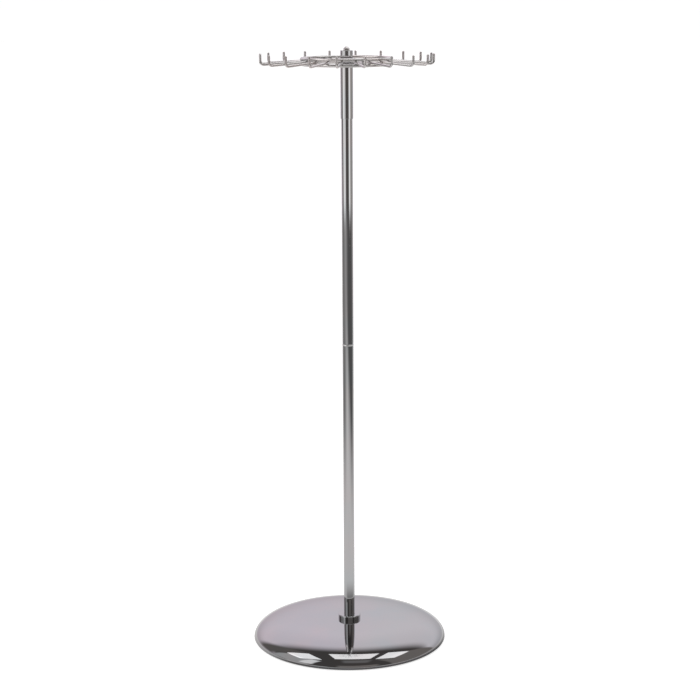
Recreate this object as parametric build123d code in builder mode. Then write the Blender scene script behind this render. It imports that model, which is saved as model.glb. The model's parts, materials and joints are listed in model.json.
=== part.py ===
from build123d import *
import math
import os

# Revolving tie stand. Millimetres, +Z up, origin on the floor under the middle of the base.
# A weighted saucer base carries a two-piece post. A sleeve with twenty hooks turns on the post's top.

os.makedirs("parts", exist_ok=True)

# ---- driving dimensions ----

total_height = 1555.0
base_radius = 254.0
base_height = 52.0
base_widest_z = 5.0
base_top_power = 5.2        # how long the saucer's top stays flat towards its rim
base_shoulder_power = 1.9   # how round the saucer's shoulder is
shell_wall = 1.5

tube_radius = 14.3
tube_wall = 1.5
sleeve_radius = 15.875
sleeve_wall = 1.0
sleeve_length = 170.0

collar_radius = 29.2
collar_height = 11.0
ring_radius = 14.9
ring_height = 4.5

hook_count = 20
hook_phase = 11.9           # degrees from +X to the first hook
hook_wire = 3.175           # radius
hook_reach = 219.0          # axis of the post to the axis of an upturned tip
hook_tip_height = 26.5      # top of a tip above the wire's axis beside it
hook_droop = 6.5            # fall of a hook's wire from the hoops to its tip
hook_bend = 9.0             # radius of the bend, on the wire's axis

hoop_radius = 113.0
hoop_rod = 3.97             # radius
hoop_level = 1518.0         # mid-plane between the two hoops
weld_bite = 0.1             # how far welded rods sink into each other

spoke_count = 4
hub_radius = 22.0
hub_height = 16.0

fit_gap = 0.03              # radial gap of pieces that are pressed or screwed together
running_gap = 0.05          # radial gap of the liners on the post, and axial gap at the washers

# ---- sizes worked out from them ----

cap_nut_height = 8.7
pivot_washer_height = 1.2
sleeve_cap_height = 4.0
thrust_washer_height = 2.0
plug_flange_height = 4.0

sleeve_top = total_height - cap_nut_height - pivot_washer_height - running_gap
sleeve_bottom = sleeve_top - sleeve_length
sleeve_bore = sleeve_radius - sleeve_wall
thrust_top = sleeve_top - sleeve_cap_height - running_gap
plug_top = thrust_top - thrust_washer_height
post_top = plug_top - plug_flange_height
tube_length = (post_top - base_height - ring_height) / 2
ring_bottom = base_height + tube_length
ring_top = ring_bottom + ring_height
tube_bore = tube_radius - tube_wall

hoop_offset = hook_wire + hoop_rod - weld_bite
hook_pitch = 360 / hook_count
spoke_phase = hook_phase + hook_pitch / 2


def saucer_outline(radius, crown):
    """Points of a saucer's outline, from its flat seat to its widest circle."""
    points = [(seat_radius, crown)]
    steps = 14
    for step in range(1, steps):
        turn = math.radians(90 * (1 - (step / steps) ** 2))
        across = radius * math.cos(turn) ** (2 / base_top_power)
        up = base_widest_z + (crown - base_widest_z) * math.sin(turn) ** (2 / base_shoulder_power)
        points.append((across, up))
    points.append((radius, base_widest_z))
    return points


# ---- base ----

bolt_radius = 6.0
rubber_height = 1.5
rim_inner_radius = 242.0
rim_curl = base_widest_z - rubber_height
seat_radius = collar_radius + 2.8

with BuildPart() as base_shell:
    with BuildSketch(Plane.XZ):
        with BuildLine():
            seat = Line((0, base_height), (seat_radius, base_height))
            inner_seat = Line((0, base_height - shell_wall), (seat_radius, base_height - shell_wall))
            outer = Spline(saucer_outline(base_radius, base_height), tangents=[(1, 0), (0, -1)])
            inner = Spline(
                saucer_outline(base_radius - shell_wall, base_height - shell_wall),
                tangents=[(1, 0), (0, -1)],
            )
            curl = RadiusArc(outer @ 1, (base_radius - rim_curl, rubber_height), rim_curl)
            inner_curl = RadiusArc(
                inner @ 1,
                (base_radius - rim_curl, rubber_height + shell_wall),
                rim_curl - shell_wall,
            )
            flange_low = Line(curl @ 1, (rim_inner_radius, rubber_height))
            flange_edge = Line(flange_low @ 1, (rim_inner_radius, rubber_height + shell_wall))
            Line(flange_edge @ 1, inner_curl @ 1)
            Line(seat @ 0, inner_seat @ 0)
        make_face()
    revolve(axis=Axis.Z)
    with BuildSketch(Plane.XY):
        Circle(bolt_radius + 0.5)
    extrude(amount=base_height + 1, mode=Mode.SUBTRACT)

base_shell.part.label = "base_shell"
export_step(base_shell.part, "parts/base_shell.step")

weight_radius = 190.0
weight_bottom = 8.0
weight_top = 23.0
weight_boss_radius = seat_radius + 2.0
boss_top = base_height - shell_wall
bolt_recess_radius = 16.0
bolt_recess_top = 20.0
pad_circle = 150.0
pad_radius = 14.0
cover_top = rubber_height + shell_wall
screw_radius = 2.5
screw_length = 12.0

with BuildPart() as base_weight:
    with BuildSketch(Plane.XY.offset(weight_bottom)):
        Circle(weight_radius)
    extrude(amount=weight_top - weight_bottom)
    edges = base_weight.edges().filter_by(GeomType.CIRCLE).sort_by(SortBy.RADIUS)[-2:]
    fillet(edges, 3)
    with BuildSketch(Plane.XY.offset(weight_top)):
        Circle(weight_boss_radius)
    extrude(amount=boss_top - weight_top, taper=6)
    with BuildSketch(Plane.XY.offset(cover_top)):
        with PolarLocations(pad_circle, 4, start_angle=45):
            Circle(pad_radius)
    extrude(amount=weight_bottom - cover_top)
    with BuildSketch(Plane.XY.offset(weight_bottom)):
        Circle(bolt_recess_radius)
    extrude(amount=bolt_recess_top - weight_bottom, mode=Mode.SUBTRACT)
    with BuildSketch(Plane.XY.offset(bolt_recess_top)):
        Circle(bolt_radius + 0.5)
    extrude(amount=boss_top - bolt_recess_top, mode=Mode.SUBTRACT)
    with BuildSketch(Plane.XY.offset(cover_top)):
        with PolarLocations(pad_circle, 4, start_angle=45):
            Circle(screw_radius + fit_gap)
    extrude(amount=screw_length, mode=Mode.SUBTRACT)

base_weight.part.label = "base_weight"
export_step(base_weight.part, "parts/base_weight.step")

cover_height = 1.3
cover_bottom = cover_top - cover_height
screw_head_radius = 4.5
screw_slot_depth = 0.6

with BuildPart() as bottom_cover:
    with BuildSketch(Plane.XY.offset(cover_bottom)):
        Circle(rim_inner_radius - 0.5)
        Circle(bolt_recess_radius, mode=Mode.SUBTRACT)
        with PolarLocations(pad_circle, 4, start_angle=45):
            Circle(screw_head_radius + 0.2, mode=Mode.SUBTRACT)
    extrude(amount=cover_height)

bottom_cover.part.label = "bottom_cover"
export_step(bottom_cover.part, "parts/bottom_cover.step")

with BuildPart() as cover_screws:
    with BuildSketch(Plane.XY.offset(cover_bottom)):
        with PolarLocations(pad_circle, 4, start_angle=45):
            Circle(screw_head_radius)
            Rectangle(1.2, 6.5, mode=Mode.SUBTRACT)
    extrude(amount=screw_slot_depth)
    with BuildSketch(Plane.XY.offset(cover_bottom + screw_slot_depth)):
        with PolarLocations(pad_circle, 4, start_angle=45):
            Circle(screw_head_radius)
    extrude(amount=cover_height - screw_slot_depth)
    with BuildSketch(Plane.XY.offset(cover_top)):
        with PolarLocations(pad_circle, 4, start_angle=45):
            Circle(screw_radius)
    extrude(amount=screw_length - 1)

cover_screws.part.label = "cover_screws"
export_step(cover_screws.part, "parts/cover_screws.step")

with BuildPart() as rubber_edge:
    with BuildSketch(Plane.XY):
        Circle(base_radius - rim_curl)
        Circle(rim_inner_radius + 1, mode=Mode.SUBTRACT)
    extrude(amount=rubber_height)
    fillet(rubber_edge.edges().group_by(Axis.Z)[0], 0.5)

rubber_edge.part.label = "rubber_edge"
export_step(rubber_edge.part, "parts/rubber_edge.step")

washer_height = 2.0
bolt_head_height = 7.5
bolt_head_across = 19.0
bolt_end = base_height + 26.0

with BuildPart() as anchor_washer:
    with BuildSketch(Plane.XY.offset(bolt_recess_top - washer_height)):
        Circle(14)
        Circle(bolt_radius + 0.5, mode=Mode.SUBTRACT)
    extrude(amount=washer_height)

anchor_washer.part.label = "anchor_washer"
export_step(anchor_washer.part, "parts/anchor_washer.step")

with BuildPart() as anchor_bolt:
    with BuildSketch(Plane.XY.offset(bolt_recess_top - washer_height - bolt_head_height)):
        RegularPolygon(bolt_head_across / 2, 6, major_radius=False)
    extrude(amount=bolt_head_height)
    chamfer(anchor_bolt.edges().group_by(Axis.Z)[0], 0.8)
    with BuildSketch(Plane.XY.offset(bolt_recess_top - washer_height)):
        Circle(bolt_radius)
    extrude(amount=bolt_end - bolt_recess_top + washer_height)
    chamfer(anchor_bolt.edges().group_by(Axis.Z)[-1], 1)

anchor_bolt.part.label = "anchor_bolt"
export_step(anchor_bolt.part, "parts/anchor_bolt.step")

with BuildPart() as base_collar:
    with BuildSketch(Plane.XY.offset(base_height)):
        Circle(collar_radius)
        Circle(tube_radius + fit_gap, mode=Mode.SUBTRACT)
    extrude(amount=collar_height)
    top_edges = base_collar.edges().group_by(Axis.Z)[-1].sort_by(SortBy.RADIUS)
    fillet(top_edges[-1], 3)
    fillet(top_edges[0], 0.6)

base_collar.part.label = "base_collar"
export_step(base_collar.part, "parts/base_collar.step")

# ---- post ----

insert_length = 28.0
insert_radius = tube_bore - fit_gap
stud_radius = 5.0
pivot_radius = 4.0

with BuildPart() as lower_plug:
    with BuildSketch(Plane.XY.offset(base_height)):
        Circle(insert_radius)
        Circle(bolt_radius + fit_gap, mode=Mode.SUBTRACT)
    extrude(amount=insert_length)
    with BuildSketch(Plane.XY.offset(base_height + insert_length)):
        Circle(insert_radius)
    extrude(amount=5)

lower_plug.part.label = "lower_plug"
export_step(lower_plug.part, "parts/lower_plug.step")

with BuildPart() as lower_tube:
    with BuildSketch(Plane.XY.offset(base_height)):
        Circle(tube_radius)
        Circle(tube_bore, mode=Mode.SUBTRACT)
    extrude(amount=tube_length)

lower_tube.part.label = "lower_tube"
export_step(lower_tube.part, "parts/lower_tube.step")

with BuildPart() as lower_insert:
    with BuildSketch(Plane.XY.offset(ring_bottom - insert_length)):
        Circle(insert_radius)
        Circle(stud_radius + fit_gap, mode=Mode.SUBTRACT)
    extrude(amount=insert_length)

lower_insert.part.label = "lower_insert"
export_step(lower_insert.part, "parts/lower_insert.step")

with BuildPart() as joint_ring:
    with BuildSketch(Plane.XY.offset(ring_bottom)):
        Circle(ring_radius)
        Circle(stud_radius + fit_gap, mode=Mode.SUBTRACT)
    extrude(amount=ring_height)
    rims = joint_ring.edges().filter_by(GeomType.CIRCLE).sort_by(SortBy.RADIUS)[-2:]
    fillet(rims, 1)

joint_ring.part.label = "joint_ring"
export_step(joint_ring.part, "parts/joint_ring.step")

with BuildPart() as joint_stud:
    with BuildSketch(Plane.XY.offset(ring_bottom - insert_length + 3)):
        Circle(stud_radius)
    extrude(amount=2 * (insert_length - 3) + ring_height)
    chamfer(joint_stud.edges().filter_by(GeomType.CIRCLE), 1)

joint_stud.part.label = "joint_stud"
export_step(joint_stud.part, "parts/joint_stud.step")

with BuildPart() as upper_insert:
    with BuildSketch(Plane.XY.offset(ring_top)):
        Circle(insert_radius)
        Circle(stud_radius + fit_gap, mode=Mode.SUBTRACT)
    extrude(amount=insert_length)

upper_insert.part.label = "upper_insert"
export_step(upper_insert.part, "parts/upper_insert.step")

with BuildPart() as upper_tube:
    with BuildSketch(Plane.XY.offset(ring_top)):
        Circle(tube_radius)
        Circle(tube_bore, mode=Mode.SUBTRACT)
    extrude(amount=tube_length)

upper_tube.part.label = "upper_tube"
export_step(upper_tube.part, "parts/upper_tube.step")

with BuildPart() as top_plug:
    with BuildSketch(Plane.XY.offset(post_top - insert_length)):
        Circle(insert_radius)
    extrude(amount=insert_length)
    with BuildSketch(Plane.XY.offset(post_top)):
        Circle(tube_radius)
    extrude(amount=plug_flange_height)
    chamfer(top_plug.edges().group_by(Axis.Z)[-1], 0.6)
    with BuildSketch(Plane.XY.offset(plug_top)):
        Circle(pivot_radius + fit_gap)
    extrude(amount=-(insert_length - 4), mode=Mode.SUBTRACT)

top_plug.part.label = "top_plug"
export_step(top_plug.part, "parts/top_plug.step")

pivot_top = total_height - 2.5

with BuildPart() as pivot_stud:
    with BuildSketch(Plane.XY.offset(plug_top - insert_length + 6)):
        Circle(pivot_radius)
    extrude(amount=pivot_top - plug_top + insert_length - 6)
    chamfer(pivot_stud.edges().filter_by(GeomType.CIRCLE), 0.8)

pivot_stud.part.label = "pivot_stud"
export_step(pivot_stud.part, "parts/pivot_stud.step")

with BuildPart() as thrust_washer:
    with BuildSketch(Plane.XY.offset(plug_top)):
        Circle(13.5)
        Circle(pivot_radius + 0.3, mode=Mode.SUBTRACT)
    extrude(amount=thrust_washer_height)

thrust_washer.part.label = "thrust_washer"
export_step(thrust_washer.part, "parts/thrust_washer.step")

washer_bottom = sleeve_top + running_gap
nut_bottom = washer_bottom + pivot_washer_height
nut_across = 13.6
nut_hex_height = 4.0
dome_bottom = nut_bottom + nut_hex_height
dome_radius = nut_across / 2 - 0.1
dome_rise = total_height - dome_bottom
ball_radius = (dome_radius**2 + dome_rise**2) / (2 * dome_rise)
dome_half_turn = math.asin(dome_radius / ball_radius) / 2
dome_middle = (
    ball_radius * math.sin(dome_half_turn),
    total_height - ball_radius * (1 - math.cos(dome_half_turn)),
)

with BuildPart() as pivot_washer:
    with BuildSketch(Plane.XY.offset(washer_bottom)):
        Circle(8.6)
        Circle(pivot_radius + fit_gap, mode=Mode.SUBTRACT)
    extrude(amount=pivot_washer_height)

pivot_washer.part.label = "pivot_washer"
export_step(pivot_washer.part, "parts/pivot_washer.step")

with BuildPart() as cap_nut:
    with BuildSketch(Plane.XY.offset(nut_bottom)):
        RegularPolygon(nut_across / 2, 6, major_radius=False)
    extrude(amount=nut_hex_height)
    with BuildSketch(Plane.XZ):
        with BuildLine():
            dome = ThreePointArc((dome_radius, dome_bottom), dome_middle, (0, total_height))
            dome_axis = Line(dome @ 1, (0, dome_bottom))
            Line(dome_axis @ 1, dome @ 0)
        make_face()
    revolve(axis=Axis.Z)
    with BuildSketch(Plane.XY.offset(nut_bottom)):
        Circle(pivot_radius + fit_gap)
    extrude(amount=pivot_top - nut_bottom + 0.5, mode=Mode.SUBTRACT)

cap_nut.part.label = "cap_nut"
export_step(cap_nut.part, "parts/cap_nut.step")

# ---- turning head ----

with BuildPart() as head_sleeve:
    with BuildSketch(Plane.XY.offset(sleeve_bottom)):
        Circle(sleeve_radius)
        Circle(sleeve_bore, mode=Mode.SUBTRACT)
    extrude(amount=sleeve_length)
    outer_rims = head_sleeve.edges().filter_by(GeomType.CIRCLE).sort_by(SortBy.RADIUS)[-2:]
    fillet(outer_rims, 0.4)

head_sleeve.part.label = "head_sleeve"
export_step(head_sleeve.part, "parts/head_sleeve.step")

with BuildPart() as sleeve_cap:
    with BuildSketch(Plane.XY.offset(sleeve_top - sleeve_cap_height)):
        Circle(sleeve_bore - fit_gap)
        Circle(pivot_radius + 0.3, mode=Mode.SUBTRACT)
    extrude(amount=sleeve_cap_height)

sleeve_cap.part.label = "sleeve_cap"
export_step(sleeve_cap.part, "parts/sleeve_cap.step")

bush_length = 20.0
lower_bush_bottom = sleeve_bottom + 1.0
upper_bush_bottom = post_top - 30.0

with BuildPart() as lower_bush:
    with BuildSketch(Plane.XY.offset(lower_bush_bottom)):
        Circle(sleeve_bore)
        Circle(tube_radius + running_gap, mode=Mode.SUBTRACT)
    extrude(amount=bush_length)

lower_bush.part.label = "lower_bush"
export_step(lower_bush.part, "parts/lower_bush.step")

with BuildPart() as upper_bush:
    with BuildSketch(Plane.XY.offset(upper_bush_bottom)):
        Circle(sleeve_bore)
        Circle(tube_radius + running_gap, mode=Mode.SUBTRACT)
    extrude(amount=bush_length)

upper_bush.part.label = "upper_bush"
export_step(upper_bush.part, "parts/upper_bush.step")

socket_bottom = hub_radius - 4.0
hub_screw_radius = 2.5
hub_screw_turn = spoke_phase + hook_pitch * 2

with BuildPart() as hub:
    with BuildSketch(Plane.XY.offset(hoop_level - hub_height / 2)):
        Circle(hub_radius)
        Circle(sleeve_radius, mode=Mode.SUBTRACT)
    extrude(amount=hub_height)
    hub_rims = hub.edges().filter_by(GeomType.CIRCLE).sort_by(SortBy.RADIUS)[-2:]
    fillet(hub_rims, 1.5)
    for spoke in range(spoke_count):
        turn = spoke_phase + spoke * 360 / spoke_count
        outward = Vector(1, 0, 0).rotate(Axis.Z, turn)
        socket_plane = Plane(origin=outward * socket_bottom + Vector(0, 0, hoop_level), z_dir=outward)
        with BuildSketch(socket_plane):
            Circle(hook_wire)
        extrude(amount=hub_radius, mode=Mode.SUBTRACT)
    screw_outward = Vector(1, 0, 0).rotate(Axis.Z, hub_screw_turn)
    screw_plane = Plane(origin=screw_outward * sleeve_radius + Vector(0, 0, hoop_level), z_dir=screw_outward)
    with BuildSketch(screw_plane):
        Circle(hub_screw_radius + fit_gap)
    extrude(amount=hub_radius, mode=Mode.SUBTRACT)

hub.part.label = "hub"
export_step(hub.part, "parts/hub.step")

with BuildPart() as hub_screw:
    with BuildSketch(screw_plane.offset(0.1)):
        Circle(hub_screw_radius)
    extrude(amount=4.9)
    with BuildSketch(screw_plane.offset(5.0)):
        RegularPolygon(1.25, 6, major_radius=False)
    extrude(amount=-2.5, mode=Mode.SUBTRACT)

hub_screw.part.label = "hub_screw"
export_step(hub_screw.part, "parts/hub_screw.step")

spoke_end = hoop_radius + hoop_rod + 1.5

for spoke in range(spoke_count):
    turn = spoke_phase + spoke * 360 / spoke_count
    outward = Vector(1, 0, 0).rotate(Axis.Z, turn)
    start = outward * socket_bottom + Vector(0, 0, hoop_level)
    with BuildPart() as spoke_rod:
        with BuildSketch(Plane(origin=start, z_dir=outward)):
            Circle(hook_wire)
        extrude(amount=spoke_end - socket_bottom)
        fillet(spoke_rod.edges().sort_by_distance(start)[-1], 1.5)
    spoke_name = f"spoke_{spoke + 1}"
    spoke_rod.part.label = spoke_name
    export_step(spoke_rod.part, f"parts/{spoke_name}.step")

for name, level in (("upper_hoop", hoop_level + hoop_offset), ("lower_hoop", hoop_level - hoop_offset)):
    with BuildPart() as hoop:
        with BuildSketch(Plane.XZ):
            with Locations((hoop_radius, level)):
                Circle(hoop_rod)
        revolve(axis=Axis.Z)
    hoop.part.label = name
    export_step(hoop.part, f"parts/{name}.step")

hook_start = hoop_radius - hoop_rod - 4.0
hook_level_end = hoop_radius + hoop_rod + 4.0

for number in range(hook_count):
    turn = math.radians(hook_phase + number * hook_pitch)
    outward = Vector(math.cos(turn), math.sin(turn), 0)
    upright = Plane(origin=(0, 0, hoop_level), x_dir=outward, z_dir=outward.cross(Vector(0, 0, 1)))
    with BuildPart() as hook:
        with BuildLine(upright):
            wire_axis = FilletPolyline(
                (hook_start, 0),
                (hook_level_end, 0),
                (hook_reach, -hook_droop),
                (hook_reach, hook_tip_height - hook_droop),
                radius=[40, hook_bend],
            )
        with BuildSketch(Plane(origin=wire_axis @ 0, z_dir=outward)):
            Circle(hook_wire)
        sweep()
        fillet(hook.edges().group_by(Axis.Z)[-1], hook_wire - 0.3)
    hook_name = f"hook_{number + 1:02d}"
    hook.part.label = hook_name
    export_step(hook.part, f"parts/{hook_name}.step")
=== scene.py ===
"""Looks of the revolving tie stand: chrome pieces, studio, floor and camera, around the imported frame."""

import json
import math

import bpy
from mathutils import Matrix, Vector, noise


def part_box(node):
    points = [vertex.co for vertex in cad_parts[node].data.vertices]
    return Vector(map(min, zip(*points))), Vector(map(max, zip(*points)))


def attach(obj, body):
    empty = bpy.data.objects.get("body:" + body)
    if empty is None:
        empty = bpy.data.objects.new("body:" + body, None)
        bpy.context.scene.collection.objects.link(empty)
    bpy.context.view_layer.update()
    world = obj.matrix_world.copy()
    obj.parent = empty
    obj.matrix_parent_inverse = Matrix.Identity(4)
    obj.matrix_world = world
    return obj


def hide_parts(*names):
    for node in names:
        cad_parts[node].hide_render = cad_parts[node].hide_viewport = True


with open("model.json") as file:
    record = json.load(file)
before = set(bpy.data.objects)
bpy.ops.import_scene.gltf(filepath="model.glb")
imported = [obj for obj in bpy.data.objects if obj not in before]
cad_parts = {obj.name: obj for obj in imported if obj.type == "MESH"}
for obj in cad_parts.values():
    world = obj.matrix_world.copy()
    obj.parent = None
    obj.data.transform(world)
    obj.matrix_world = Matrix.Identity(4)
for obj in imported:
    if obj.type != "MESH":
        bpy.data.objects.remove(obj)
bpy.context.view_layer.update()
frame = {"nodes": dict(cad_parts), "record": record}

STAND, HEAD = "stand", "head"
nodes = frame["nodes"]

# ---- sizes, in metres, read from the frame or repeated from the design ----


def cylinder_of(node):
    """Outer radius, bottom and top of a round node on the post's axis."""
    low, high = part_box(node)
    return (high.x - low.x) / 2, low.z, high.z


def turn_of(node):
    """The turn about the post, in radians from +X, at which a radial rod lies."""
    low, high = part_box(node)
    middle = (low + high) / 2
    return math.atan2(middle.y, middle.x)


def reach_of(node):
    """The largest distance of a node's surface from the post's axis."""
    return max(math.hypot(v.co.x, v.co.y) for v in nodes[node].data.vertices)


BASE_RADIUS, BASE_BOTTOM, BASE_TOP = cylinder_of("base_shell")
BASE_WIDEST = 0.005
BASE_TOP_POWER, BASE_SHOULDER_POWER = 5.2, 1.9
SHELL_WALL = 0.0015
SEAT_RADIUS = 0.032
RIM_INNER = 0.242
BOLT_HOLE = 0.0065
TUBE_WALL = 0.0015
SLEEVE_WALL = 0.001

WIRE = (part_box("spoke_1")[1].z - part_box("spoke_1")[0].z) / 2
HOOP_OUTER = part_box("upper_hoop")[1].x
HOOP_ROD = (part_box("upper_hoop")[1].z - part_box("upper_hoop")[0].z) / 2
HOOP_RADIUS = HOOP_OUTER - HOOP_ROD
HUB_RADIUS, HUB_BOTTOM, HUB_TOP = cylinder_of("hub")
HEAD_LEVEL = (HUB_BOTTOM + HUB_TOP) / 2

HOOKS = sorted(n for n in nodes if n.startswith("hook_"))
SPOKES = sorted(n for n in nodes if n.startswith("spoke_"))
HOOK_REACH = reach_of(HOOKS[0]) - WIRE
HOOK_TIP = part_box(HOOKS[0])[1].z
HOOK_START = HOOP_RADIUS - HOOP_ROD - 0.004
HOOK_LEVEL_END = HOOP_RADIUS + HOOP_ROD + 0.004
HOOK_DROOP = 0.0065
HOOK_BEND = 0.009

# ---- materials ----


def new_material(name):
    material = bpy.data.materials.new(name)
    material.use_nodes = True
    tree = material.node_tree
    return material, tree, tree.nodes["Principled BSDF"]


def math_node(tree, operation, first, second=None):
    node = tree.nodes.new("ShaderNodeMath")
    node.operation = operation
    for index, value in enumerate((first, second)):
        if value is None:
            continue
        if isinstance(value, (int, float)):
            node.inputs[index].default_value = value
        else:
            tree.links.new(value, node.inputs[index])
    return node.outputs[0]


def noise_node(tree, coordinates, scale, detail=3.0, roughness=0.55, stretch=(1, 1, 1)):
    mapping = tree.nodes.new("ShaderNodeMapping")
    mapping.inputs["Scale"].default_value = stretch
    tree.links.new(coordinates, mapping.inputs["Vector"])
    texture = tree.nodes.new("ShaderNodeTexNoise")
    texture.inputs["Scale"].default_value = scale
    texture.inputs["Detail"].default_value = detail
    texture.inputs["Roughness"].default_value = roughness
    tree.links.new(mapping.outputs[0], texture.inputs["Vector"])
    return texture.outputs["Fac"]


def remap(tree, value, low, high, to_low, to_high):
    node = tree.nodes.new("ShaderNodeMapRange")
    node.clamp = True
    node.interpolation_type = "SMOOTHSTEP"
    for index, number in enumerate((low, high, to_low, to_high)):
        node.inputs[index + 1].default_value = number
    tree.links.new(value, node.inputs[0])
    return node.outputs[0]


def mix_colours(tree, factor, first, second):
    """A colour between first and second, each a socket or a colour."""
    node = tree.nodes.new("ShaderNodeMix")
    node.data_type = "RGBA"
    tree.links.new(factor, node.inputs[0])
    for index, value in ((6, first), (7, second)):
        if isinstance(value, tuple):
            node.inputs[index].default_value = (*value, 1)
        else:
            tree.links.new(value, node.inputs[index])
    return node.outputs[2]


def bump(tree, shader, heights):
    """Stacks bump nodes, one for each (height, distance in metres, strength)."""
    normal = None
    for height, distance, strength in heights:
        node = tree.nodes.new("ShaderNodeBump")
        node.inputs["Strength"].default_value = strength
        node.inputs["Distance"].default_value = distance
        tree.links.new(height, node.inputs["Height"])
        if normal is not None:
            tree.links.new(normal, node.inputs["Normal"])
        normal = node.outputs[0]
    tree.links.new(normal, shader.inputs["Normal"])


def object_coordinates(tree):
    return tree.nodes.new("ShaderNodeTexCoord").outputs["Object"]


def distance_from_axis(tree, x, y):
    squares = math_node(
        tree, "ADD", math_node(tree, "MULTIPLY", x, x), math_node(tree, "MULTIPLY", y, y)
    )
    return math_node(tree, "SQRT", squares)


LINES_ROUND_TUBE, LINE_BREAKS_PER_METRE = 40.0, 6.0
RINGS_PER_METRE, RING_BREAKS_PER_METRE = 2600.0, 900.0


def polish_lines(tree, coordinates, direction):
    """Very fine buffing lines: rings about the post, or lines along it."""
    parts = tree.nodes.new("ShaderNodeSeparateXYZ")
    tree.links.new(coordinates, parts.inputs[0])
    x, y, z = parts.outputs
    if direction == "along":
        angle = math_node(tree, "ARCTAN2", y, x)
        lane = math_node(tree, "MULTIPLY", angle, LINES_ROUND_TUBE)
        along = math_node(tree, "MULTIPLY", z, LINE_BREAKS_PER_METRE)
    else:
        lane = math_node(tree, "MULTIPLY", distance_from_axis(tree, x, y), RINGS_PER_METRE)
        along = math_node(tree, "MULTIPLY", z, RING_BREAKS_PER_METRE)
    joined = tree.nodes.new("ShaderNodeCombineXYZ")
    tree.links.new(lane, joined.inputs[0])
    tree.links.new(along, joined.inputs[1])
    texture = tree.nodes.new("ShaderNodeTexNoise")
    texture.inputs["Scale"].default_value = 1.0
    texture.inputs["Detail"].default_value = 2.0
    tree.links.new(joined.outputs[0], texture.inputs["Vector"])
    return texture.outputs["Fac"]


def chrome(name, direction, smudge=0.07, clear=0.025, line_strength=0.05, tint=(0.445, 0.445, 0.447)):
    """Bright chrome plate: cloudy smudges and dust in its gloss, buffing lines in its bump."""
    material, tree, shader = new_material(name)
    shader.inputs["Metallic"].default_value = 1.0
    where = object_coordinates(tree)
    cloud = noise_node(tree, where, 9.0, detail=4.0)
    fine = noise_node(tree, where, 260.0, detail=2.0)
    specks = noise_node(tree, where, 1500.0, detail=1.0)
    warm = tuple(c * k for c, k in zip(tint, (1.035, 0.995, 1.0)))
    cool = tuple(c * k for c, k in zip(tint, (0.97, 0.995, 1.01)))
    colour = mix_colours(tree, remap(tree, cloud, 0.35, 0.65, 0.0, 1.0), cool, warm)
    tree.links.new(colour, shader.inputs["Base Color"])
    smear = remap(tree, cloud, 0.45, 0.75, 0.0, smudge)
    grain = remap(tree, fine, 0.4, 0.8, 0.0, 0.02)
    dust = remap(tree, specks, 0.74, 0.8, 0.0, 0.22)
    soft = math_node(tree, "ADD", smear, grain)
    rough = math_node(tree, "ADD", soft, math_node(tree, "ADD", dust, clear))
    tree.links.new(rough, shader.inputs["Roughness"])
    lines = polish_lines(tree, where, direction)
    peel = noise_node(tree, where, 55.0, detail=1.0)
    bump(tree, shader, [(peel, 0.00003, 0.10), (lines, 0.00001, line_strength)])
    return material


def weld_metal(name):
    """Chrome plate over a weld bead: duller and rippled."""
    material, tree, shader = new_material(name)
    shader.inputs["Metallic"].default_value = 1.0
    where = object_coordinates(tree)
    ripple = noise_node(tree, where, 900.0, detail=3.0)
    stain = noise_node(tree, where, 160.0)
    share = remap(tree, stain, 0.4, 0.7, 0, 1)
    colour = mix_colours(tree, share, (0.44, 0.445, 0.46), (0.36, 0.345, 0.33))
    tree.links.new(colour, shader.inputs["Base Color"])
    tree.links.new(remap(tree, ripple, 0.3, 0.7, 0.12, 0.3), shader.inputs["Roughness"])
    bump(tree, shader, [(ripple, 0.0003, 0.5)])
    return material


def zinc_metal(name):
    """Zinc plate on the inner steel parts: mottled, with fine scratches."""
    material, tree, shader = new_material(name)
    shader.inputs["Metallic"].default_value = 1.0
    where = object_coordinates(tree)
    patches = noise_node(tree, where, 140.0, detail=4.0)
    scratches = noise_node(tree, where, 420.0, detail=2.0, stretch=(1, 1, 6))
    share = remap(tree, patches, 0.35, 0.65, 0, 1)
    colour = mix_colours(tree, share, (0.52, 0.54, 0.57), (0.62, 0.61, 0.55))
    tree.links.new(colour, shader.inputs["Base Color"])
    tree.links.new(remap(tree, patches, 0.3, 0.7, 0.22, 0.42), shader.inputs["Roughness"])
    bump(tree, shader, [(scratches, 0.00008, 0.3)])
    return material


def nylon_plastic(name):
    """Off-white nylon of the liners and the thrust washer."""
    material, tree, shader = new_material(name)
    shader.inputs["Subsurface Weight"].default_value = 0.15
    shader.inputs["Subsurface Radius"].default_value = (0.004, 0.004, 0.003)
    where = object_coordinates(tree)
    grain = noise_node(tree, where, 700.0, detail=3.0)
    cloud = noise_node(tree, where, 70.0)
    share = remap(tree, cloud, 0.35, 0.65, 0, 1)
    colour = mix_colours(tree, share, (0.80, 0.79, 0.74), (0.86, 0.85, 0.81))
    tree.links.new(colour, shader.inputs["Base Color"])
    tree.links.new(remap(tree, grain, 0.3, 0.7, 0.38, 0.52), shader.inputs["Roughness"])
    bump(tree, shader, [(grain, 0.0001, 0.25)])
    return material


def rubber_moulding(name):
    """Black rubber with a fine grain, dusty in patches."""
    material, tree, shader = new_material(name)
    where = object_coordinates(tree)
    grain = noise_node(tree, where, 900.0, detail=3.0)
    dust = noise_node(tree, where, 45.0, detail=5.0)
    share = remap(tree, dust, 0.45, 0.75, 0, 1)
    colour = mix_colours(tree, share, (0.012, 0.012, 0.013), (0.05, 0.048, 0.045))
    tree.links.new(colour, shader.inputs["Base Color"])
    tree.links.new(remap(tree, grain, 0.3, 0.7, 0.55, 0.8), shader.inputs["Roughness"])
    bump(tree, shader, [(grain, 0.0002, 0.35)])
    return material


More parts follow.
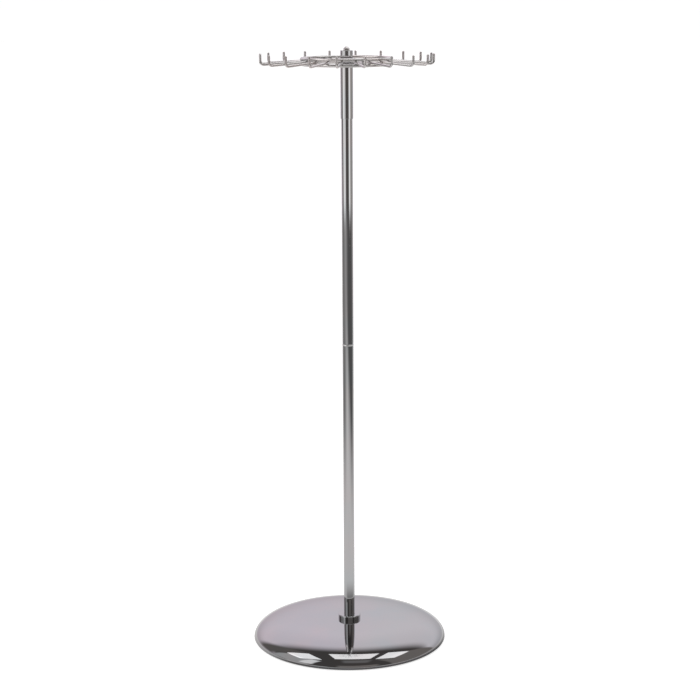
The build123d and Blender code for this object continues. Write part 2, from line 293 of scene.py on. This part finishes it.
def cast_iron(name):
    """Sand-cast iron, painted black."""
    material, tree, shader = new_material(name)
    where = object_coordinates(tree)
    sand = noise_node(tree, where, 420.0, detail=6.0, roughness=0.7)
    lumps = noise_node(tree, where, 60.0, detail=2.0)
    share = remap(tree, sand, 0.35, 0.7, 0, 1)
    colour = mix_colours(tree, share, (0.018, 0.018, 0.018), (0.07, 0.066, 0.06))
    tree.links.new(colour, shader.inputs["Base Color"])
    tree.links.new(remap(tree, sand, 0.3, 0.7, 0.5, 0.85), shader.inputs["Roughness"])
    bump(tree, shader, [(lumps, 0.0012, 0.4), (sand, 0.0006, 0.6)])
    return material


def satin_black(name):
    """Satin black paint on the bottom cover, lightly scuffed."""
    material, tree, shader = new_material(name)
    where = object_coordinates(tree)
    peel = noise_node(tree, where, 320.0, detail=2.0)
    scuffs = noise_node(tree, where, 12.0, detail=6.0, roughness=0.7, stretch=(1, 5, 1))
    share = remap(tree, scuffs, 0.5, 0.75, 0, 1)
    colour = mix_colours(tree, share, (0.016, 0.016, 0.018), (0.06, 0.058, 0.055))
    tree.links.new(colour, shader.inputs["Base Color"])
    tree.links.new(remap(tree, scuffs, 0.4, 0.7, 0.32, 0.55), shader.inputs["Roughness"])
    bump(tree, shader, [(peel, 0.0002, 0.25)])
    return material


CHROME_BASE = chrome("chrome_base", "rings", smudge=0.05, tint=(0.398, 0.396, 0.401))
CHROME_TUBE = chrome("chrome_tube", "along", smudge=0.05, line_strength=0.03)
CHROME_WIRE = chrome(
    "chrome_wire", "rings", smudge=0.12, clear=0.18, line_strength=0.02, tint=(0.62, 0.595, 0.58)
)
CHROME_SMALL = chrome("chrome_small", "rings", smudge=0.06, clear=0.04)
CHROME_SATIN = chrome("chrome_satin", "rings", smudge=0.05, clear=0.3, tint=(0.72, 0.71, 0.70))
WELD = weld_metal("chrome_weld")
CAD_MATERIALS = {
    "zinc": zinc_metal("zinc_plate"),
    "nylon": nylon_plastic("nylon"),
    "rubber": rubber_moulding("rubber"),
    "cast_iron": cast_iron("cast_iron"),
    "cover": satin_black("satin_black"),
    "chrome": CHROME_SMALL,
}
for subpart in frame["record"]["subparts"]:
    node = nodes[subpart["node"]]
    node.data.materials.clear()
    node.data.materials.append(CAD_MATERIALS[subpart["material_slot"]])

# ---- mesh helpers ----

FACE_AREA_WEIGHT = 80
END_FLAT = 0.6          # how much of a rounded rod end stays flat, in steps of its rounding


def add_piece(name, points, faces, material, body, replaced=()):
    """A smooth-shaded piece from points and faces, riding on a CAD body."""
    mesh = bpy.data.meshes.new(name)
    mesh.from_pydata([tuple(p) for p in points], [], faces)
    mesh.validate()
    mesh.materials.append(material)
    mesh.shade_smooth()
    piece = bpy.data.objects.new(name, mesh)
    bpy.context.scene.collection.objects.link(piece)
    weighted = piece.modifiers.new("weighted_normals", "WEIGHTED_NORMAL")
    weighted.weight = FACE_AREA_WEIGHT
    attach(piece, body)
    if replaced:
        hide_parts(*replaced)


def grid_faces(rows, columns, joined=True, offset=0, flipped=False):
    """Faces between rows of points that each close on themselves; joined closes last to first."""
    faces = []
    for row in range(rows if joined else rows - 1):
        below = offset + row * columns
        above = offset + ((row + 1) % rows) * columns
        for column in range(columns):
            after = (column + 1) % columns
            if flipped:
                faces.append((below + column, above + column, above + after, below + after))
            else:
                faces.append((below + column, below + after, above + after, above + column))
    return faces


def rounded(corners, steps=5, closed=True):
    """An outline from (across, up, radius) corners, each rounded by an arc of that radius."""
    outline = []
    count = len(corners)
    for index, (across, up, radius) in enumerate(corners):
        here = Vector((across, up))
        ends = not closed and index in (0, count - 1)
        if ends or radius == 0:
            outline.append(here)
            continue
        before = Vector(corners[index - 1][:2]) - here
        after = Vector(corners[(index + 1) % count][:2]) - here
        before.normalize()
        after.normalize()
        half = before.angle(after) / 2
        inset = radius / math.tan(half)
        centre = here + (before + after).normalized() * (radius / math.sin(half))
        first = here + before * inset - centre
        last = here + after * inset - centre
        whole_turn = first.angle_signed(last)
        for step in range(steps + 1):
            turn = -whole_turn * step / steps
            across_turned = first.x * math.cos(turn) - first.y * math.sin(turn)
            up_turned = first.x * math.sin(turn) + first.y * math.cos(turn)
            outline.append(centre + Vector((across_turned, up_turned)))
    return outline


def lathe(name, outline, material, body, replaced=(), segments=128):
    """Turns a closed outline of (across, up) points about the post's axis."""
    points = []
    for across, up in outline:
        for segment in range(segments):
            turn = 2 * math.pi * segment / segments
            points.append((across * math.cos(turn), across * math.sin(turn), up))
    faces = grid_faces(len(outline), segments)
    add_piece(name, points, faces, material, body, replaced)


def sweep(path, radius, side, sides=20, round_ends=4):
    """Points and faces of a round rod along a flat path, whose plane has the normal side."""
    rings = []
    last = len(path) - 1
    for index, centre in enumerate(path):
        before, after = path[max(index - 1, 0)], path[min(index + 1, last)]
        rings.append((centre, (after - before).normalized(), radius))
    start, ahead, _ = rings[0]
    end, onward, _ = rings[-1]
    for step in range(1, round_ends + 1):
        turn = math.pi / 2 * step / (round_ends + END_FLAT)
        out, slim = radius * math.sin(turn), radius * math.cos(turn)
        rings.insert(0, (start + ahead * (radius - out), ahead, slim))
        rings.append((end - onward * (radius - out), onward, slim))
    rings[round_ends] = (start + ahead * radius, ahead, radius)
    rings[-round_ends - 1] = (end - onward * radius, onward, radius)
    points = []
    for centre, ahead, size in rings:
        across = side.cross(ahead).normalized()
        for k in range(sides):
            turn = 2 * math.pi * k / sides
            points.append(centre + across * (size * math.cos(turn)) + side * (size * math.sin(turn)))
    faces = grid_faces(len(rings), sides, joined=False, flipped=True)
    faces.append(tuple(range(sides)))
    faces.append(tuple(reversed(range((len(rings) - 1) * sides, len(rings) * sides))))
    return points, faces


# ---- base ----

CROWDING = 1.7          # above 1, points crowd towards the saucer's shoulder
SEAT_GAP = 0.004
FLANGE = 0.003
EDGE_ROUND = 0.0006


def saucer_curve(radius, crown, steps=64):
    """The saucer's curve from its flat seat to its widest circle."""
    curve = [Vector((SEAT_RADIUS, crown))]
    for step in range(1, steps):
        turn = math.pi / 2 * (1 - (step / steps) ** CROWDING)
        across = radius * math.cos(turn) ** (2 / BASE_TOP_POWER)
        up = BASE_WIDEST + (crown - BASE_WIDEST) * math.sin(turn) ** (2 / BASE_SHOULDER_POWER)
        if across > SEAT_RADIUS + SEAT_GAP:
            curve.append(Vector((across, up)))
    curve.append(Vector((radius, BASE_WIDEST)))
    return curve


def quarter_curl(radius, curl, steps=8):
    """The saucer's rim, curled under from its widest circle."""
    points = []
    for step in range(1, steps + 1):
        turn = math.pi / 2 * step / steps
        across = radius - curl + curl * math.cos(turn)
        points.append(Vector((across, BASE_WIDEST - curl * math.sin(turn))))
    return points


def make_saucer():
    """The spun saucer: top, curled rim, flange and the inside of its wall."""
    curl = BASE_WIDEST - BASE_BOTTOM
    outer = [Vector((BOLT_HOLE, BASE_TOP))] + saucer_curve(BASE_RADIUS, BASE_TOP)
    outer += quarter_curl(BASE_RADIUS, curl)
    inner = [Vector((BOLT_HOLE, BASE_TOP - SHELL_WALL))]
    inner += saucer_curve(BASE_RADIUS - SHELL_WALL, BASE_TOP - SHELL_WALL, steps=24)
    inner += quarter_curl(BASE_RADIUS - SHELL_WALL, curl - SHELL_WALL)
    flange = rounded(
        [
            (RIM_INNER + FLANGE, BASE_BOTTOM, 0),
            (RIM_INNER, BASE_BOTTOM, EDGE_ROUND),
            (RIM_INNER, BASE_BOTTOM + SHELL_WALL, EDGE_ROUND),
            (RIM_INNER + FLANGE, BASE_BOTTOM + SHELL_WALL, 0),
        ],
        closed=False,
    )
    outline = (outer + flange + inner[::-1])[::-1]
    lathe("saucer", outline, CHROME_BASE, STAND, ["base_shell"], segments=288)


make_saucer()


def ring_piece(name, node, bore, top_round, bottom_round, material, body, segments=96):
    """A round node with a bore, its outer corners rounded."""
    radius, low, high = cylinder_of(node)
    corners = [
        (bore, low, BORE_LOW_ROUND),
        (radius, low, bottom_round),
        (radius, high, top_round),
        (bore, high, BORE_TOP_ROUND),
    ]
    lathe(name, rounded(corners, steps=8), material, body, [node], segments)


BORE_LOW_ROUND, BORE_TOP_ROUND = 0.0002, 0.0004
TUBE_RADIUS = cylinder_of("lower_tube")[0]
TUBE_BORE = TUBE_RADIUS - TUBE_WALL
COLLAR_BORE = TUBE_RADIUS + 0.00003
BAND_BORE, BAND_ROUND = 0.0051, 0.0021
SLEEVE_RADIUS = cylinder_of("head_sleeve")[0]
SLEEVE_BORE = SLEEVE_RADIUS - SLEEVE_WALL
CAP_BORE = 0.0043
HUB_ROUND = 0.0015

ring_piece("foot_collar", "base_collar", COLLAR_BORE, 0.003, 0.0003, CHROME_BASE, STAND, 128)
ring_piece("lower_post", "lower_tube", TUBE_BORE, 0.0005, 0.0003, CHROME_TUBE, STAND)
ring_piece("joint_band", "joint_ring", BAND_BORE, BAND_ROUND, BAND_ROUND, CHROME_SATIN, STAND)
ring_piece("upper_post", "upper_tube", TUBE_BORE, 0.0003, 0.0005, CHROME_TUBE, STAND)
ring_piece("sleeve", "head_sleeve", SLEEVE_BORE, 0.0006, 0.0006, CHROME_TUBE, HEAD)
ring_piece("sleeve_end", "sleeve_cap", CAP_BORE, 0.0004, 0.0003, CHROME_SMALL, HEAD)
ring_piece("hub_boss", "hub", SLEEVE_RADIUS, HUB_ROUND, HUB_ROUND, CHROME_SMALL, HEAD)


LIP_GAP = 0.0002
FOOT_WIDTH = 0.0108
LIP_TAPER = 0.0042
LIP_FULL_AT = 0.8       # share of the rubber's height at which its lip is full width


def make_rubber_foot():
    """The rubber edging: its lip tapers inwards to the floor."""
    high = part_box("rubber_edge")[1]
    outer, top = high.x - LIP_GAP, high.z
    inner = BASE_RADIUS - FOOT_WIDTH
    corners = [
        (inner, 0.0, 0.0003),
        (outer - LIP_TAPER, 0.0, 0.0004),
        (outer, top * LIP_FULL_AT, 0.0002),
        (outer, top, 0.0001),
        (inner, top, 0.0003),
    ]
    material = CAD_MATERIALS["rubber"]
    lathe("rubber_foot", rounded(corners, steps=4), material, STAND, ["rubber_edge"], 256)


make_rubber_foot()


HEX_HEIGHT = 0.004
CORNERS_TURNED = 0.97   # share of the flats' distance at which the hexagon's corners are turned off
CORNER_FALL = math.tan(math.radians(30))
NUT_BORE = 0.00403
NUT_TOP_WALL = 0.002
DOME_GAP = 0.0001
DOME_STEPS, DOME_LAST_STEP = 13, 12.6
DOME_SLIM = 0.985
DOME_DROP = 0.00001


def make_cap_nut():
    """A domed nut: a hexagon with its corners turned off, a ball top and a blind hole."""
    low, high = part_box("cap_nut")
    flat = (high.y - low.y) / 2
    hex_top = low.z + HEX_HEIGHT
    turned = flat * CORNERS_TURNED
    segments = 96
    turns = [2 * math.pi * segment / segments + math.radians(30) for segment in range(segments)]

    def hexagon(turn):
        wedge = math.radians(60)
        off = (turn % wedge) - wedge / 2
        return flat / math.cos(off)

    def corner_fall(turn):
        return max(0.0, hexagon(turn) - turned) * CORNER_FALL

    rows = [
        lambda t: (NUT_BORE, low.z),
        lambda t: (turned, low.z),
        lambda t: (hexagon(t), low.z + corner_fall(t)),
        lambda t: (hexagon(t), hex_top - corner_fall(t)),
        lambda t: (turned, hex_top),
    ]
    dome_rise = high.z - hex_top
    dome_radius = flat - DOME_GAP
    ball = (dome_radius**2 + dome_rise**2) / (2 * dome_rise)
    widest = math.asin(dome_radius / ball)
    for step in range(DOME_STEPS):
        angle = widest * (1 - step / DOME_LAST_STEP)
        across = ball * math.sin(angle) * DOME_SLIM
        up = high.z - ball * (1 - math.cos(angle)) - DOME_DROP
        rows.append(lambda t, place=(across, up): place)
    points = []
    for row in rows:
        for turn in turns:
            across, up = row(turn)
            points.append((across * math.cos(turn), across * math.sin(turn), up))
    faces = grid_faces(len(rows), segments, joined=False)
    top = (len(rows) - 1) * segments
    faces.append(tuple(range(top, top + segments)))
    hole_top = len(points)
    for turn in turns:
        points.append((NUT_BORE * math.cos(turn), NUT_BORE * math.sin(turn), high.z - NUT_TOP_WALL))
    for segment in range(segments):
        after = (segment + 1) % segments
        faces.append((hole_top + segment, hole_top + after, after, segment))
    faces.append(tuple(reversed(range(hole_top, hole_top + segments))))
    add_piece("domed_nut", points, faces, CHROME_WIRE, STAND, ["cap_nut"])


make_cap_nut()

# ---- turning head ----


def radial(turn):
    return Vector((math.cos(turn), math.sin(turn), 0))


UP = Vector((0, 0, 1))
level = UP * HEAD_LEVEL
WIRE_EASE = 0.04        # radius of the slight bend where a wire leaves the hoops
SPOKE_SINK = 0.0035     # how far a spoke goes into the hub
SPOKE_STEPS = 6

for name in HOOKS:
    outward = radial(turn_of(name))
    tip = HOOK_TIP - HEAD_LEVEL
    wire_line = rounded(
        [
            (HOOK_START, 0, 0),
            (HOOK_LEVEL_END, 0, WIRE_EASE),
            (HOOK_REACH, -HOOK_DROOP, HOOK_BEND),
            (HOOK_REACH, tip, 0),
        ],
        steps=14,
        closed=False,
    )
    path = [outward * p.x + UP * p.y + level for p in wire_line]
    points, faces = sweep(path, WIRE, outward.cross(UP))
    add_piece(name.replace("hook", "tie_hook"), points, faces, CHROME_WIRE, HEAD, [name])

for name in SPOKES:
    outward = radial(turn_of(name))
    start, end = HUB_RADIUS - SPOKE_SINK, reach_of(name)
    path = []
    for step in range(SPOKE_STEPS + 1):
        path.append(outward * (start + (end - start) * step / SPOKE_STEPS) + level)
    points, faces = sweep(path, WIRE, UP)
    add_piece(name.replace("spoke", "spoke_rod"), points, faces, CHROME_WIRE, HEAD, [name])


SEAM_WIDTH, SEAM_SWELL = 0.0012, 0.015


def make_hoop(name, node, seam_turn):
    """A hoop of round rod, with a slight swelling where its ends were butt-welded."""
    low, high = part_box(node)
    height = (low.z + high.z) / 2
    steps, sides = 240, 24
    points = []
    for step in range(steps):
        turn = 2 * math.pi * step / steps
        off = (turn - seam_turn + math.pi) % (2 * math.pi) - math.pi
        swell = math.exp(-((off * HOOP_RADIUS / SEAM_WIDTH) ** 2))
        size = HOOP_ROD * (1 - SEAM_SWELL + SEAM_SWELL * swell)
        for k in range(sides):
            round_turn = 2 * math.pi * k / sides
            across = HOOP_RADIUS + size * math.cos(round_turn)
            points.append(radial(turn) * across + UP * (height + size * math.sin(round_turn)))
    faces = grid_faces(steps, sides, flipped=True)
    add_piece(name, points, faces, CHROME_WIRE, HEAD, [node])
    return height


hoop_heights = {
    "hoop_upper": make_hoop("hoop_upper", "upper_hoop", math.radians(233)),
    "hoop_lower": make_hoop("hoop_lower", "lower_hoop", math.radians(118)),
}


HOOP_WELD, HOOP_BEAD = 0.0017, 0.00085
HUB_BEAD, HUB_WELD_GAP, HUB_WELD_OUT = 0.0009, 0.0004, 0.0001
RIPPLES, RIPPLE_SIZE, LUMP_SIZE = 9, 0.18, 0.25


def bead_ring(points, faces, centre, first, second, axis, ring, bead, seed, around=28, sides=8):
    """Adds a rippled weld bead: a small ring about axis, at centre."""
    offset = len(points)
    for step in range(around):
        turn = 2 * math.pi * step / around
        out = first * math.cos(turn) + second * math.sin(turn)
        lump = noise.noise(out * 2 + Vector((seed, 0, 0)))
        size = bead * (1 + RIPPLE_SIZE * math.sin(turn * RIPPLES) + LUMP_SIZE * lump)
        for k in range(sides):
            round_turn = 2 * math.pi * k / sides
            place = out * (ring + size * math.cos(round_turn)) + axis * (size * math.sin(round_turn))
            points.append(centre + place)
    faces += grid_faces(around, sides, offset=offset, flipped=True)


def make_welds():
    """Beads where every wire and spoke crosses the hoops, and where spokes enter the hub."""
    for name, height in hoop_heights.items():
        points, faces = [], []
        side = 1 if height > HEAD_LEVEL else -1
        for seed, rod in enumerate(HOOKS + SPOKES):
            outward = radial(turn_of(rod))
            centre = outward * HOOP_RADIUS + UP * (HEAD_LEVEL + side * WIRE)
            sideways = outward.cross(UP)
            bead_ring(points, faces, centre, outward, sideways, UP, HOOP_WELD, HOOP_BEAD, seed)
        add_piece(name.replace("hoop", "welds"), points, faces, WELD, HEAD)
    points, faces = [], []
    for seed, rod in enumerate(SPOKES):
        outward = radial(turn_of(rod))
        centre = outward * (HUB_RADIUS + HUB_WELD_OUT) + level
        sideways = outward.cross(UP)
        ring = WIRE + HUB_WELD_GAP
        bead_ring(points, faces, centre, sideways, UP, outward, ring, HUB_BEAD, seed)
    add_piece("welds_hub", points, faces, WELD, HEAD)


make_welds()

# ---- stage: floor, surroundings, lights ----


def ramp_node(tree, value, stops):
    """A linear ramp through (position, brightness) stops."""
    node = tree.nodes.new("ShaderNodeValToRGB")
    ramp = node.color_ramp
    while len(ramp.elements) > 1:
        ramp.elements.remove(ramp.elements[-1])
    ramp.elements[0].position = stops[0][0]
    ramp.elements[0].color = (stops[0][1],) * 3 + (1,)
    for position, brightness in stops[1:]:
        element = ramp.elements.new(position)
        element.color = (brightness,) * 3 + (1,)
    tree.links.new(value, node.inputs[0])
    return node.outputs[0]


def band(tree, value, low, high, soft):
    """1 where value lies from low to high, falling to 0 over soft at each side."""
    rise = remap(tree, value, low - soft / 2, low + soft / 2, 0.0, 1.0)
    fall = remap(tree, value, high - soft / 2, high + soft / 2, 1.0, 0.0)
    return math_node(tree, "MULTIPLY", rise, fall)


def turn_about_stand(tree, x, y):
    """The turn from the stand's front, in degrees, positive to the right."""
    turn = math_node(tree, "ARCTAN2", x, math_node(tree, "MULTIPLY", y, -1.0))
    return math_node(tree, "MULTIPLY", turn, 180 / math.pi)


def by_turn(tree, turn, pairs, top):
    """A value that goes linearly through (degrees, value) pairs, none above top."""
    place = math_node(tree, "ADD", math_node(tree, "DIVIDE", turn, 360.0), 0.5)
    stops = [((degrees + 180) / 360, value / top) for degrees, value in pairs]
    return math_node(tree, "MULTIPLY", ramp_node(tree, place, stops), top)


GREY = (1.0, 1.0, 1.0)
BROWN = (1.06, 0.99, 0.94)
MAUVE = (1.05, 0.965, 1.05)
COOL = (1.0, 0.99, 1.04)


def tinted(tint, brightness):
    return tuple(channel * brightness for channel in tint)


# Screens and walls of the studio: turn from, to, height from, to (degrees), edge softness, colour.
SCREENS = [
    (-131, -101, 3, 62, 14, tinted(BROWN, 0.18)),
    (-108, -79, -40, 1, 5, tinted(BROWN, 0.2)),
    (-99, -50, 3, 48, 6, tinted(GREY, 0.64)),
    (-78, -58, -40, 1, 5, tinted(GREY, 1.75)),
    (-62, -26, -40, 1, 8, tinted(GREY, 1.25)),
    (-62, -45, 13, 52, 5, tinted(GREY, 1.35)),
    (-14, 34, 4, 24, 8, tinted(BROWN, 0.3)),
    (35, 69, -40, 0, 6, tinted(GREY, 1.5)),
    (50, 115, 3, 60, 6, tinted(BROWN, 0.26)),
    (72, 118, -40, 2, 6, tinted(BROWN, 0.5)),
    (143, 166, -40, -1, 6, tinted(GREY, 0.4)),
]


CAMERA_PAPER_GLOW = 0.72
FLOOR_HALF_WIDTH, FLOOR_DROP = 60.0, 0.0002
MIRROR_HALF_WIDTH, MIRROR_DROP = 11.0, 0.0004
MIRROR_FADE = (7.9, 10.2)       # metres from the stand over which the mirrored floor ends
PAPER_LIGHT = 0.95
CONTACT_FROM, CONTACT_TO = 0.02, 0.25

# How far the lit paper reaches, in metres, by degrees round the stand.
PAPER_REACH = [
    (-180, 3.0), (-120, 1.8), (-99, 1.7), (-71, 1.65), (-47, 2.0), (-25, 4.0), (0, 2.9),
    (17, 2.5), (38, 2.0), (61, 1.6), (87, 1.5), (118, 2.4), (180, 3.0),
]
PAPER_REACH_TOP = 8.0
# The floor's light beyond the paper, by degrees round the stand.
LIGHT_BEYOND = [
    (-180, 1.0), (-160, 0.8), (-122, 0.6), (-102, 0.28), (-84, 0.28), (-64, 0.45), (-42, 0.55),
    (-22, 0.42), (0, 0.2), (16, 0.15), (86, 0.14), (108, 0.5), (150, 0.7), (180, 1.0),
]
# How much the floor darkens next to the saucer, by degrees round the stand.
CONTACT_SHADE = [
    (-180, 0.15), (-100, 0.15), (-62, 0.3), (-38, 0.78), (70, 0.78), (105, 0.3), (180, 0.15),
]


def make_world():
    """A studio round the stand: white behind, a dark room in front, bright screens at its sides."""
    world = bpy.data.worlds.new("studio")
    world.use_nodes = True
    bpy.context.scene.world = world
    tree = world.node_tree
    background = tree.nodes["Background"]
    direction = tree.nodes.new("ShaderNodeTexCoord").outputs["Generated"]
    parts = tree.nodes.new("ShaderNodeSeparateXYZ")
    tree.links.new(direction, parts.inputs[0])
    x, y, z = parts.outputs
    turn = turn_about_stand(tree, x, y)
    height = math_node(tree, "MULTIPLY", math_node(tree, "ARCSINE", z), 180 / math.pi)
    over = math_node(tree, "MULTIPLY", math_node(tree, "ARCTAN2", z, y), 180 / math.pi)
    ceiling = remap(tree, over, 43.0, 66.0, 0.0, 1.0)
    lamp_glow = math_node(
        tree, "MULTIPLY", band(tree, over, 108.0, 128.0, 12.0), band(tree, x, -0.1, 0.3, 0.1)
    )
    side = remap(tree, x, -0.05, 0.05, 0.0, 1.0)
    white = mix_colours(tree, side, tinted(MAUVE, 1.05), tinted(COOL, 1.05))
    grey = mix_colours(tree, side, tinted(MAUVE, 0.72), tinted(COOL, 0.72))
    white = mix_colours(tree, remap(tree, height, 4.0, 26.0, 0.0, 1.0), grey, white)
    room = mix_colours(tree, lamp_glow, tinted(BROWN, 0.095), tinted(GREY, 0.25))
    colour = mix_colours(tree, ceiling, white, room)
    low_front = band(tree, turn, -101.0, 118.0, 8.0)
    level = remap(tree, height, 0.0, 4.0, 1.0, 0.0)
    below = math_node(tree, "MULTIPLY", low_front, level)
    colour = mix_colours(tree, below, colour, tinted(BROWN, 0.13))
    for turn_from, turn_to, height_from, height_to, soft, light in SCREENS:
        across = band(tree, turn, turn_from, turn_to, soft)
        upward = band(tree, height, height_from, height_to, soft)
        colour = mix_colours(tree, math_node(tree, "MULTIPLY", across, upward), colour, light)
    tree.links.new(colour, background.inputs["Color"])
    background.inputs["Strength"].default_value = 1.0


def square_sheet(name, size, material):
    """A flat square of the stage, size to each side of the middle."""
    mesh = bpy.data.meshes.new(name)
    corners = [(-size, -size, 0), (size, -size, 0), (size, size, 0), (-size, size, 0)]
    mesh.from_pydata(corners, [], [(0, 1, 2, 3)])
    mesh.materials.append(material)
    sheet = bpy.data.objects.new(name, mesh)
    bpy.context.scene.collection.objects.link(sheet)
    return sheet


def make_floor():
    """A pale floor, with soft contact shadows."""
    material, tree, shader = new_material("pale_floor")
    where = object_coordinates(tree)
    grain = noise_node(tree, where, 40.0)
    colour = mix_colours(tree, grain, (0.86, 0.86, 0.86), (0.90, 0.90, 0.90))
    tree.links.new(colour, shader.inputs["Base Color"])
    shader.inputs["Roughness"].default_value = 0.9
    shader.inputs["Specular IOR Level"].default_value = 0.1
    shader.inputs["Emission Color"].default_value = (1, 1, 1, 1)
    shader.inputs["Emission Strength"].default_value = CAMERA_PAPER_GLOW
    floor = square_sheet("floor", FLOOR_HALF_WIDTH, material)
    floor.location.z = -FLOOR_DROP
    floor.visible_glossy = False


def make_mirrored_floor():
    """The floor as the chrome sees it: white round the stand, and darker beyond the lit paper."""
    material = bpy.data.materials.new("floor_in_mirrors")
    material.use_nodes = True
    tree = material.node_tree
    tree.nodes.remove(tree.nodes["Principled BSDF"])
    parts = tree.nodes.new("ShaderNodeSeparateXYZ")
    tree.links.new(object_coordinates(tree), parts.inputs[0])
    x, y, _ = parts.outputs
    turn = turn_about_stand(tree, x, y)
    distance = distance_from_axis(tree, x, y)
    paper = by_turn(tree, turn, PAPER_REACH, PAPER_REACH_TOP)
    beyond = by_turn(tree, turn, LIGHT_BEYOND, 1.0)
    share = remap(tree, math_node(tree, "DIVIDE", distance, paper), 0.5, 1.7, 0.0, 1.0)
    change = math_node(tree, "SUBTRACT", beyond, PAPER_LIGHT)
    light = math_node(tree, "ADD", math_node(tree, "MULTIPLY", change, share), PAPER_LIGHT)
    near, far = BASE_RADIUS + CONTACT_FROM, BASE_RADIUS + CONTACT_TO
    contact = remap(tree, distance, near, far, 1.0, 0.0)
    darkening = by_turn(tree, turn, CONTACT_SHADE, 1.0)
    shade = math_node(tree, "SUBTRACT", 1.0, math_node(tree, "MULTIPLY", contact, darkening))
    light = math_node(tree, "MULTIPLY", light, shade)
    glow = tree.nodes.new("ShaderNodeEmission")
    glow.inputs["Color"].default_value = (1.01, 1.0, 0.995, 1)
    tree.links.new(light, glow.inputs["Strength"])
    clear = tree.nodes.new("ShaderNodeBsdfTransparent")
    ends = tree.nodes.new("ShaderNodeMixShader")
    tree.links.new(remap(tree, distance, *MIRROR_FADE, 0.0, 1.0), ends.inputs[0])
    tree.links.new(glow.outputs[0], ends.inputs[1])
    tree.links.new(clear.outputs[0], ends.inputs[2])
    tree.links.new(ends.outputs[0], tree.nodes["Material Output"].inputs["Surface"])
    sheet = square_sheet("floor_in_mirrors", MIRROR_HALF_WIDTH, material)
    sheet.location.z = -MIRROR_DROP
    sheet.visible_camera = False
    sheet.visible_diffuse = False
    sheet.visible_transmission = False
    sheet.visible_shadow = False


def make_dome():
    """A white surround that only the camera sees, so that every view has a plain pale background."""
    radius, rows, columns = 55.0, 24, 48
    points = []
    for row in range(rows + 1):
        angle = math.pi * row / rows
        for column in range(columns):
            turn = 2 * math.pi * column / columns
            flat = radius * math.sin(angle)
            points.append((flat * math.cos(turn), flat * math.sin(turn), radius * math.cos(angle)))
    faces = grid_faces(rows + 1, columns, joined=False)
    mesh = bpy.data.meshes.new("dome")
    mesh.from_pydata(points, [], faces)
    dome = bpy.data.objects.new("dome", mesh)
    bpy.context.scene.collection.objects.link(dome)
    material, _, shader = new_material("white_surround")
    shader.inputs["Base Color"].default_value = (0, 0, 0, 1)
    shader.inputs["Emission Color"].default_value = (1, 1, 1, 1)
    shader.inputs["Emission Strength"].default_value = 1.0
    mesh.materials.append(material)
    dome.visible_glossy = False
    dome.visible_diffuse = False
    dome.visible_transmission = False
    dome.visible_shadow = False


CEILING = 3.4
PANEL_RADIANCE = 1.7


def add_ceiling_panel(name, x, y, width, depth):
    """A soft ceiling panel of a set radiance, facing down."""
    light = bpy.data.lights.new(name, "AREA")
    light.shape = "RECTANGLE"
    light.size = width
    light.size_y = depth
    light.energy = PANEL_RADIANCE * math.pi * width * depth
    lamp = bpy.data.objects.new(name, light)
    lamp.location = (x, y, CEILING)
    lamp.rotation_euler = Vector((0, 0, -CEILING)).to_track_quat("-Z", "Y").to_euler()
    bpy.context.scene.collection.objects.link(lamp)


make_world()
make_floor()
make_mirrored_floor()
make_dome()

add_ceiling_panel("panel_middle", 0.15, 0.0, 1.6, 1.6)
add_ceiling_panel("panel_left", -2.6, -0.35, 2.2, 1.9)
add_ceiling_panel("panel_right", 2.05, -0.1, 1.5, 1.9)

# ---- camera ----

SENSOR_WIDTH, LENS = 36.0, 92.2         # millimetres
CAMERA_PLACE = (0.0095, -4.549, 1.700)
LOOKS_DOWN, LEANS = 11.44, 0.28         # degrees

camera_data = bpy.data.cameras.new("camera")
camera_data.sensor_width = SENSOR_WIDTH
camera_data.lens = LENS
camera = bpy.data.objects.new("camera", camera_data)
camera.location = CAMERA_PLACE
camera.rotation_euler = (math.radians(90 - LOOKS_DOWN), math.radians(LEANS), 0)
bpy.context.scene.collection.objects.link(camera)
bpy.context.scene.camera = camera
bpy.context.scene.view_settings.view_transform = "Standard"
